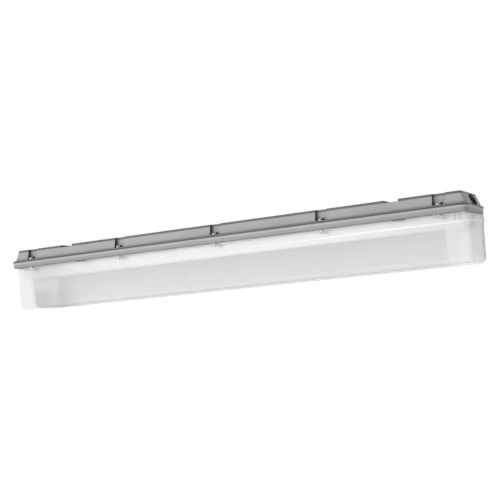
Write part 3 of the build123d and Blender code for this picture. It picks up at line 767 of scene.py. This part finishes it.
        # Painted shade on the edges, corners and gussets, except at the left end
        dark = graph.math("MULTIPLY", self.painted_edge_shade(graph, parts), right)
        step = self.effect(graph, EFFECTS.height_band(), Low=self.shoulder[0], High=self.shoulder[1],
                           Soft=self.shoulder_soft)
        # Painted highlight along the shoulder step, growing towards the right end
        glint = graph.math("MULTIPLY", step.outputs["Mask"], graph.ramp(parts.outputs["X"], *self.glint_from))

        hazed = graph.ramp(right, 0.0, 1.0, self.clear_alpha, self.haze_alpha)
        clear_alpha = graph.mix(dark, graph.mix(glint, hazed, self.glint_alpha), self.rim_alpha)
        toned = graph.ramp(grain.outputs["Tone"], 0.0, 1.0, self.frost_alpha - self.frost_change,
                           self.frost_alpha + self.frost_change)
        ended = graph.ramp(parts.outputs["X"], -self.frost_half_length + self.end_length, -self.frost_half_length,
                           0.0, self.end_density)
        seen = graph.mix(frost, clear_alpha, graph.math("ADD", toned, ended))
        shadow = graph.add("ShaderNodeLightPath").outputs["Is Shadow Ray"]
        passed = graph.ramp(shadow, 0.0, 1.0, 1.0, self.shadow_share)
        graph.tree.links.new(graph.math("MULTIPLY", seen, passed), shader.inputs["Alpha"])

        left = graph.ramp(parts.outputs["X"], *self.left_from)
        cleared = graph.mix_colour(left, rgba(self.clear), rgba(self.left_clear))
        # The clear colour with the painted highlight on the shoulder and the painted shade on the edges
        edge_shaded = graph.mix_colour(dark, graph.mix_colour(glint, cleared, rgba(self.glint)), rgba(self.rim))
        # Painted light: the frost grows lighter towards the bottom of the lens
        sunk = graph.ramp(parts.outputs["Z"], self.frost_top, self.frost_bottom)
        frosted = graph.mix_colour(sunk, rgba(self.frost), rgba(self.low_frost_lit))
        # Painted shade: the frost darkens towards the left end, most at the bottom
        left_shade = graph.math("MULTIPLY", left, graph.ramp(sunk, 0.0, 1.0, self.left_top_share, 1.0))
        frosted = graph.mix_colour(left_shade, frosted, rgba(self.left_frost_shade))
        graph.tree.links.new(graph.mix_colour(frost, edge_shaded, frosted), shader.inputs["Base Color"])

        rough = graph.math("ADD", self.by_grain(graph, grain, *self.roughness),
                           graph.math("MULTIPLY", frost, self.frost_roughness))
        graph.tree.links.new(rough, shader.inputs["Roughness"])
        shader.inputs["IOR"].default_value = self.ior
        height = graph.math("MULTIPLY", frost, self.ribs(graph, parts))
        self.bump(graph, shader, height, None, self.rib_depth, strength=0.5)
        return material


@dataclass(frozen=True)
class TranslucentPlastic(Finish):
    """A milky moulded plastic that light passes through."""

    name: str
    colour: Colour
    shade: Colour
    alpha: float = 0.7
    roughness: tuple[float, float] = (0.14, 0.24)
    edge_radius: float = 0.0006
    grain_depth: float = 0.00004

    def build(self) -> bpy.types.Material:
        """Makes the plastic with its rim a little denser than its middle.

        Returns:
            The material.
        """
        material, graph, shader = self.start()
        grain = self.effect(graph, EFFECTS.grain(), Fine=1100.0, Slow=60.0)
        edges = self.effect(graph, EFFECTS.edges(), Radius=self.edge_radius, Gain=2.0)
        rim = graph.add("ShaderNodeLayerWeight", {"Blend": 0.3}).outputs["Facing"]
        graph.tree.links.new(graph.ramp(rim, 0.0, 1.0, self.alpha, 1.0), shader.inputs["Alpha"])
        graph.tree.links.new(graph.mix_colour(grain.outputs["Tone"], rgba(self.colour), rgba(self.shade)),
                             shader.inputs["Base Color"])
        graph.tree.links.new(self.by_grain(graph, grain, *self.roughness), shader.inputs["Roughness"])
        self.bump(graph, shader, grain.outputs["Height"], edges.outputs["Normal"], self.grain_depth,
                  strength=0.4)
        return material


@dataclass(frozen=True)
class SolderMask(Finish):
    """White solder mask with copper pads that show faintly, and yellow phosphor on the chips below it."""

    name: str = "solder_mask"
    mask: Colour = (0.84, 0.85, 0.83)
    trace: Colour = (0.76, 0.78, 0.75)
    phosphor: Colour = (0.80, 0.62, 0.16)
    chip_rim: Colour = (0.88, 0.87, 0.84)
    chip_top: float = -0.0831
    row_y: float = 0.024
    board_start: float = 0.005
    board_length: float = 0.590
    chips: int = 28
    phosphor_radius: float = 0.0014
    print_soft: float = 0.0002
    trace_half: tuple[float, float] = (0.0032, 0.0028)
    trace_depth: float = 0.00004
    edge_radius: float = 0.0002
    roughness: tuple[float, float] = (0.35, 0.5)

    def build(self) -> bpy.types.Material:
        """Makes the board from the place of each point on it.

        Returns:
            The material.
        """
        material, graph, shader = self.start()
        parts = graph.add("ShaderNodeSeparateXYZ", {0: graph.place()})
        half_pitch = self.board_length / self.chips / 2
        first_chip = self.board_start + half_pitch
        along = graph.math("SUBTRACT", graph.math("ABSOLUTE", parts.outputs["X"]), first_chip)
        offset = graph.math("WRAP", along, half_pitch, -half_pitch)
        across = graph.math("SUBTRACT", graph.math("ABSOLUTE", parts.outputs["Y"]), self.row_y)
        span = graph.math("SQRT", graph.math("ADD", graph.math("MULTIPLY", offset, offset),
                                             graph.math("MULTIPLY", across, across)))
        dot = graph.ramp(span, self.phosphor_radius + self.print_soft, self.phosphor_radius - self.print_soft)
        on_chip = graph.ramp(parts.outputs["Z"], self.chip_top, self.chip_top - self.print_soft)
        wide = graph.ramp(graph.math("ABSOLUTE", across), *self.trace_half)
        traces = graph.mix_colour(wide, rgba(self.mask), rgba(self.trace))
        chips = graph.mix_colour(dot, rgba(self.chip_rim), rgba(self.phosphor))
        grain = self.effect(graph, EFFECTS.grain(), Fine=1500.0, Slow=30.0)
        edges = self.effect(graph, EFFECTS.edges(), Radius=self.edge_radius, Gain=2.0)
        graph.tree.links.new(graph.mix_colour(on_chip, traces, chips), shader.inputs["Base Color"])
        graph.tree.links.new(self.by_grain(graph, grain, *self.roughness), shader.inputs["Roughness"])
        self.bump(graph, shader, wide, edges.outputs["Normal"], self.trace_depth, strength=0.6)
        return material


# Painted shade on the housing: along the top edge, the bead's upper edge, under the bead, at the flange's foot and on
# the lugs below the flange
TOP_SHADE_LINE = ShadeBand(-0.0055, 0.001, soft=0.0015, strength=0.74)
BEAD_SHADE_LINE = ShadeBand(-0.0343, -0.0303, soft=0.0003, strength=0.97)
FLANGE_SHADE = ShadeBand(-0.0465, -0.0410, soft=0.0030, strength=0.36)
FLANGE_FOOT_SHADE = ShadeBand(-0.0490, -0.0472, soft=0.0004, strength=0.45)
LUG_SHADE = ShadeBand(-0.0600, -0.0487, soft=0.0002, strength=0.92)

FINISHES: Mapping[Slot, Finish] = {
    # The housing takes painted shade on its end walls, recess sides, conduit entry and in dark lines
    Slot.HOUSING: MouldedPlastic("housing_grey", (0.440, 0.440, 0.438), (0.400, 0.400, 0.398), (0.59, 0.59, 0.588),
                                 roughness=0.42, edge_radius=0.0010, end_shade=0.30, cheek_shade=0.92,
                                 shade_bands=(BEAD_SHADE_LINE, FLANGE_SHADE, TOP_SHADE_LINE, LUG_SHADE, FLANGE_FOOT_SHADE)),
    Slot.GASKET: FoamSeal("gasket_foam", (0.16, 0.16, 0.17), (0.05, 0.05, 0.055)),
    Slot.LENS: LensAcrylic(),
    Slot.TRAY: BakedEnamel("tray_enamel", (0.80, 0.80, 0.79), (0.77, 0.77, 0.76), roughness=0.40),
    Slot.ZINC: PlatedMetal("zinc_plate", (0.66, 0.67, 0.68), (0.58, 0.58, 0.57), roughness=0.36),
    Slot.STEEL: PlatedMetal("plated_screw", (0.60, 0.60, 0.61), (0.48, 0.47, 0.44), roughness=0.30,
                            brushing=(900.0, 900.0, 900.0)),
    Slot.STAINLESS: PlatedMetal("stainless_stud", (0.50, 0.50, 0.51), (0.43, 0.43, 0.43), roughness=0.45,
                                brushing=(2200.0, 2200.0, 120.0), weathered=(0.30, 0.30, 0.305)),
    Slot.CAM: MouldedPlastic("cam_nylon", (0.57, 0.57, 0.56), (0.53, 0.53, 0.52), (0.64, 0.64, 0.63),
                             roughness=0.5, edge_radius=0.0005, dust=0.1),
    Slot.TOGGLE: TranslucentPlastic("toggle_plastic", (0.86, 0.87, 0.88), (0.80, 0.82, 0.83), alpha=0.45),
    Slot.BOARD: SolderMask(),
    Slot.DRIVER_CASE: MouldedPlastic("driver_case", (0.75, 0.76, 0.77), (0.70, 0.71, 0.72), (0.85, 0.85, 0.85),
                                     roughness=0.4, edge_radius=0.0006, dust=0.15),
    Slot.TERMINAL: MouldedPlastic("terminal_body", (0.85, 0.84, 0.80), (0.80, 0.79, 0.74), (0.92, 0.91, 0.88),
                                  roughness=0.38, edge_radius=0.0004, dust=0.1),
    Slot.PLUG: MouldedPlastic("plug_black", (0.030, 0.030, 0.032), (0.020, 0.020, 0.022), (0.10, 0.10, 0.11),
                              roughness=0.60, edge_radius=0.0006, dust=0.1, shine=0.12),
}


class Wardrobe:
    """Hands out each finish's material and dresses CAD nodes with them."""

    def __init__(self) -> None:
        """Builds every finish once."""
        self.materials: dict[Slot, bpy.types.Material] = {slot: finish.build() for slot, finish in FINISHES.items()}

    def material(self, slot: Slot) -> bpy.types.Material:
        """Returns the material of a slot."""
        return self.materials[slot]

    def dress_node(self, node: str, slot: Slot) -> None:
        """Puts a slot's material on a CAD node.

        Args:
            node: The node's name.
            slot: The slot that it takes its finish from.
        """
        for holder in frame["nodes"][node].material_slots:
            holder.material = self.materials[slot]


@dataclass
class SubAssembly:
    """CAD nodes that are dressed together, and the body that the scene's added pieces ride on."""

    wardrobe: Wardrobe
    prefixes: tuple[str, ...] = ()
    body: str = "fixture"

    def dress(self) -> list[str]:
        """Dresses the CAD nodes of the sub-assembly, each from its own slot.

        Returns:
            Their names.
        """
        names = []
        for part in frame["record"]["subparts"]:
            if part["node"].startswith(self.prefixes):
                self.wardrobe.dress_node(part["node"], Slot(part["material_slot"]))
                names.append(part["node"])
        return names

    def piece(self, name: str, shape: bmesh.types.BMesh, slot: Slot) -> bpy.types.Object:
        """Makes an added piece of a finished shape.

        Args:
            name: The piece's name.
            shape: Its shape, in its place. It is freed here.
            slot: The slot that it takes its finish from.

        Returns:
            The piece, which rides on the sub-assembly's body.
        """
        bmesh.ops.remove_doubles(shape, verts=shape.verts, dist=MERGE_DISTANCE)
        bmesh.ops.recalc_face_normals(shape, faces=shape.faces)
        mesh = bpy.data.meshes.new(name)
        shape.to_mesh(mesh)
        shape.free()
        mesh.materials.append(self.wardrobe.material(slot))
        added = bpy.data.objects.new(name, mesh)
        bpy.context.scene.collection.objects.link(added)
        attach(added, self.body)
        return added

    @staticmethod
    def round_edges(shape: bmesh.types.BMesh, edges: list[bmesh.types.BMEdge], radius: float) -> None:
        """Rounds some edges of a shape."""
        bmesh.ops.bevel(shape, geom=edges, offset=radius, segments=BEVEL_SEGMENTS, affect="EDGES", profile=0.5,
                        material=-1)

    def build(self) -> list[str]:
        """Dresses the nodes and returns the names of all pieces."""
        return self.dress()


@dataclass
class Housing(SubAssembly):
    """The moulded housing with its seal and its earth screw."""

    prefixes: tuple[str, ...] = ("housing_shell", "gasket", "ground_screw")


@dataclass
class LensCover(SubAssembly):
    """The acrylic lens that closes the fixture from below."""

    prefixes: tuple[str, ...] = ("lens",)
    body: str = "lens_body"


@dataclass
class GearTray(SubAssembly):
    """The enamelled tray with its hangers, screws and toggles."""

    prefixes: tuple[str, ...] = ("gear_tray", "tray_", "hanger_screw")


@dataclass
class LightBoards(SubAssembly):
    """The four boards with their chips."""

    prefixes: tuple[str, ...] = ("led_board",)


@dataclass
class Driver(SubAssembly):
    """The driver with its screws, and the terminal block beside it."""

    prefixes: tuple[str, ...] = ("led_driver", "driver_screw", "terminal_block")


@dataclass
class Latches(SubAssembly):
    """The quarter-turn latches, each with the two ears of its black clip on the ledge beside its head."""

    prefixes: tuple[str, ...] = ("latch_",)
    count: int = 5
    ear_size: tuple[float, float, float] = (0.0046, 0.0070, 0.0064)
    ear_offset: float = 0.0090
    ear_inset: float = 0.0006
    ear_taper: float = 0.72
    ear_edge: float = 0.0008
    ear_foot: float = 0.001
    ledge_z: float = -0.0285

    def ears(self, name: str, screw: str) -> bpy.types.Object:
        """Makes the two ears of one latch's clip.

        Args:
            name: The name of the piece.
            screw: The latch's screw, whose box gives the place.

        Returns:
            The piece with both ears.
        """
        low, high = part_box(screw)
        middle = [(a + b) / 2 for a, b in zip(low, high)]
        inward = -math.copysign(self.ear_inset, middle[1])
        shape = bmesh.new()
        for side in (-1, 1):
            cube = bmesh.ops.create_cube(shape, size=1.0)["verts"]
            bmesh.ops.scale(shape, vec=Vector(self.ear_size), verts=cube)
            top = [vert for vert in cube if vert.co.z > 0]
            bmesh.ops.scale(shape, vec=Vector((self.ear_taper, self.ear_taper, 1.0)), verts=top)
            place = Vector((middle[0] + side * self.ear_offset, middle[1] + inward,
                            self.ledge_z + self.ear_size[2] / 2))
            bmesh.ops.translate(shape, vec=place, verts=cube)
        foot_z = self.ledge_z + self.ear_foot
        upper = [edge for edge in shape.edges if max(vert.co.z for vert in edge.verts) > foot_z]
        self.round_edges(shape, upper, self.ear_edge)
        return self.piece(name, shape, Slot.PLUG)

    def build(self) -> list[str]:
        """Dresses the latches and adds the ears of their clips.

        Returns:
            The names of all pieces.
        """
        names = self.dress()
        for side in ("front", "rear"):
            for number in range(1, self.count + 1):
                ending = f"{side}_{number}"
                names.append(self.ears(f"clip_ears_{ending}", f"latch_screw_{ending}").name)
        return names


@dataclass
class ConduitClosure(SubAssembly):
    """The plug of the right conduit entry, with a rubber collar that lies on the sloped end wall round it."""

    prefixes: tuple[str, ...] = ("conduit_plug", "plug_washer")
    inner: float = 0.0125
    outer: float = 0.0146
    thickness: float = 0.0036
    sunk: float = 0.0002
    edge: float = 0.0007
    segments: int = 72
    axis_z: float = -0.0185
    wall_top_x: float = 0.630
    wall_run: float = 0.012
    wall_height: float = 0.0285
    foot_z: float = -0.0283

    @property
    def slope(self) -> float:
        """How far the end wall runs outward for each metre down."""
        return self.wall_run / self.wall_height

    def collar(self) -> bpy.types.Object:
        """Makes the collar: a flat ring laid along the slope and cut off at the ledge.

        Returns:
            The collar.
        """
        shape = bmesh.new()
        bmesh.ops.create_circle(shape, cap_ends=True, segments=self.segments, radius=self.outer)
        bmesh.ops.inset_region(shape, faces=list(shape.faces), thickness=self.outer - self.inner,
                               use_boundary=True, use_even_offset=True)
        # Only the face in the middle has more than four corners: it goes, and the ring round it is raised
        middle = [face for face in shape.faces if len(face.verts) > 4]
        bmesh.ops.delete(shape, geom=middle, context="FACES")
        raised = bmesh.ops.extrude_face_region(shape, geom=list(shape.faces))["geom"]
        upper = {item for item in raised if isinstance(item, bmesh.types.BMVert)}
        bmesh.ops.translate(shape, vec=Vector((0, 0, self.thickness)), verts=list(upper))
        rims = [edge for edge in shape.edges if all(vert in upper for vert in edge.verts)
                and any(len(face.verts) == 4 and abs(face.normal.z) < 0.5 for face in edge.link_faces)]
        self.round_edges(shape, rims, self.edge)
        # Stood upright, leaned along the wall, put in its place and cut off just above the ledge
        bmesh.ops.transform(shape, matrix=Matrix.Rotation(math.pi / 2, 4, "Y"), verts=shape.verts)
        lean = Matrix.Identity(4)
        lean[0][2] = -self.slope
        bmesh.ops.transform(shape, matrix=lean, verts=shape.verts)
        start_x = self.wall_top_x - self.slope * self.axis_z - self.sunk
        bmesh.ops.translate(shape, vec=Vector((start_x, 0, self.axis_z)), verts=shape.verts)
        cut = bmesh.ops.bisect_plane(shape, geom=shape.verts[:] + shape.edges[:] + shape.faces[:],
                                     plane_co=Vector((0, 0, self.foot_z)), plane_no=Vector((0, 0, -1)),
                                     clear_outer=True)["geom_cut"]
        bmesh.ops.holes_fill(shape, edges=[item for item in cut if isinstance(item, bmesh.types.BMEdge)], sides=0)
        return self.piece("entry_collar", shape, Slot.PLUG)

    def build(self) -> list[str]:
        """Dresses the plug, adds the collar and returns the names."""
        return self.dress() + [self.collar().name]


@dataclass
class StudioCamera:
    """The camera at the photograph's place, with its lens as a focal length in picture widths."""

    place: tuple[float, float, float] = (1.3117, -2.3832, -0.2960)
    yaw: float = 27.70
    pitch: float = 4.80
    roll: float = -4.50
    focal_widths: float = 1076.6 / 500
    sensor: float = 36.0
    clip: tuple[float, float] = (0.05, 60.0)

    def build(self) -> bpy.types.Object:
        """Makes the camera and makes it the scene's own.

        Returns:
            The camera.
        """
        data = bpy.data.cameras.new("studio_camera")
        data.sensor_fit, data.sensor_width = "HORIZONTAL", self.sensor
        data.lens = self.focal_widths * self.sensor
        data.clip_start, data.clip_end = self.clip
        camera = bpy.data.objects.new("studio_camera", data)
        turn = Matrix.Rotation(math.radians(self.yaw), 4, "Z") @ Matrix.Rotation(
            math.radians(90 + self.pitch), 4, "X") @ Matrix.Rotation(math.radians(self.roll), 4, "Z")
        camera.matrix_world = Matrix.Translation(self.place) @ turn
        bpy.context.scene.collection.objects.link(camera)
        bpy.context.scene.camera = camera
        return camera


@dataclass(frozen=True)
class Lamp:
    """A round soft lamp: where it stands, how wide it is and its watts."""

    name: str
    place: tuple[float, float, float]
    size: float
    power: float


@dataclass
class Studio:
    """The pale floor, the lamps and the white surroundings."""

    floor_z: float = -0.62
    floor_size: float = 40.0
    floor_colour: Colour = (0.80, 0.80, 0.80)
    floor_roughness: float = 0.9
    floor_glow: float = 0.78
    low_glow: float = 0.70
    far_glow: float = 1.0
    glow_reach: tuple[float, float] = (1.2, 5.0)
    ambient_low: float = 0.10
    ambient_high: float = 0.78
    ambient_from: tuple[float, float, float] = (-0.45, -0.50, -0.74)
    aim: tuple[float, float, float] = (0.0, 0.0, -0.08)
    lamps: tuple[Lamp, ...] = (Lamp("key_lamp", (-2.6, -5.2, 0.9), size=2.8, power=100.0),
                               Lamp("front_lamp", (3.2, -4.4, -0.4), size=2.4, power=36.0),
                               Lamp("rear_lamp", (-1.5, 3.8, 0.8), size=2.5, power=30.0))

    @staticmethod
    def seen_white(graph: NodeGraph) -> bpy.types.NodeSocket:
        """Tells what is seen from what lights the object.

        Args:
            graph: The graph of the world or the floor.

        Returns:
            1 for rays from the camera, a reflection or a clear wall, and 0 for light on the object.
        """
        path = graph.add("ShaderNodeLightPath")
        direct = graph.math("MAXIMUM", path.outputs["Is Camera Ray"], path.outputs["Is Glossy Ray"])
        return graph.math("MAXIMUM", direct, path.outputs["Is Transmission Ray"])

    def world(self) -> None:
        """Makes the surroundings: white to look at, and as light a grey that grows from one side to the other."""
        world = bpy.data.worlds.new("studio_world")
        world.use_nodes = True
        graph = NodeGraph(world.node_tree)
        background = world.node_tree.nodes["Background"]
        way = graph.add("ShaderNodeTexCoord").outputs["Generated"]
        side = graph.add("ShaderNodeVectorMath", {0: way, 1: self.ambient_from}, operation="DOT_PRODUCT")
        soft = graph.ramp(side.outputs["Value"], -1.0, 1.0, self.ambient_low, self.ambient_high)
        level = graph.mix(self.seen_white(graph), soft, 1.0)
        graph.tree.links.new(level, background.inputs["Strength"])
        background.inputs["Color"].default_value = rgba(WHITE)
        bpy.context.scene.world = world

    def floor(self) -> bpy.types.Object:
        """Makes the floor, which looks white and keeps the object's shadow.

        Returns:
            The floor.
        """
        shape = bmesh.new()
        bmesh.ops.create_grid(shape, x_segments=1, y_segments=1, size=self.floor_size / 2)
        bmesh.ops.translate(shape, verts=shape.verts, vec=Vector((0, 0, self.floor_z)))
        mesh = bpy.data.meshes.new("studio_floor")
        shape.to_mesh(mesh)
        shape.free()
        material = bpy.data.materials.new("studio_floor")
        material.use_nodes = True
        graph = NodeGraph(material.node_tree)
        shader = material.node_tree.nodes["Principled BSDF"]
        shader.inputs["Base Color"].default_value = rgba(self.floor_colour)
        shader.inputs["Roughness"].default_value = self.floor_roughness
        shader.inputs["Emission Color"].default_value = rgba(WHITE)
        away = graph.add("ShaderNodeVectorMath", {0: graph.place()}, operation="LENGTH").outputs["Value"]
        level = graph.ramp(away, *self.glow_reach, self.floor_glow, self.far_glow)
        glow = graph.mix(self.seen_white(graph), self.low_glow, level)
        graph.tree.links.new(glow, shader.inputs["Emission Strength"])
        mesh.materials.append(material)
        floor = bpy.data.objects.new("studio_floor", mesh)
        bpy.context.scene.collection.objects.link(floor)
        return floor

    def light(self) -> None:
        """Makes the soft lamps, each turned to the middle of the fixture."""
        for lamp in self.lamps:
            data = bpy.data.lights.new(lamp.name, "AREA")
            data.shape, data.size, data.energy = "DISK", lamp.size, lamp.power
            light = bpy.data.objects.new(lamp.name, data)
            way = Vector(self.aim) - Vector(lamp.place)
            light.matrix_world = Matrix.Translation(lamp.place) @ way.to_track_quat("-Z", "Y").to_matrix().to_4x4()
            bpy.context.scene.collection.objects.link(light)

    def build(self) -> None:
        """Makes the whole studio with the Standard view transform."""
        bpy.context.scene.view_settings.view_transform = "Standard"
        self.world()
        self.floor()
        self.light()


def main() -> None:
    """Dresses the fixture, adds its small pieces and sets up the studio."""
    logging.basicConfig(level=logging.INFO, format="%(name)s: %(message)s")
    wardrobe = Wardrobe()
    for kind in (Housing, LensCover, GearTray, LightBoards, Driver, Latches, ConduitClosure):
        for name in kind(wardrobe).build():
            LOG.info("%s: %s done", kind.__name__, name)
    Studio().build()
    camera = StudioCamera().build()
    LOG.info("%s placed", camera.name)


if __name__ == "__main__":
    main()
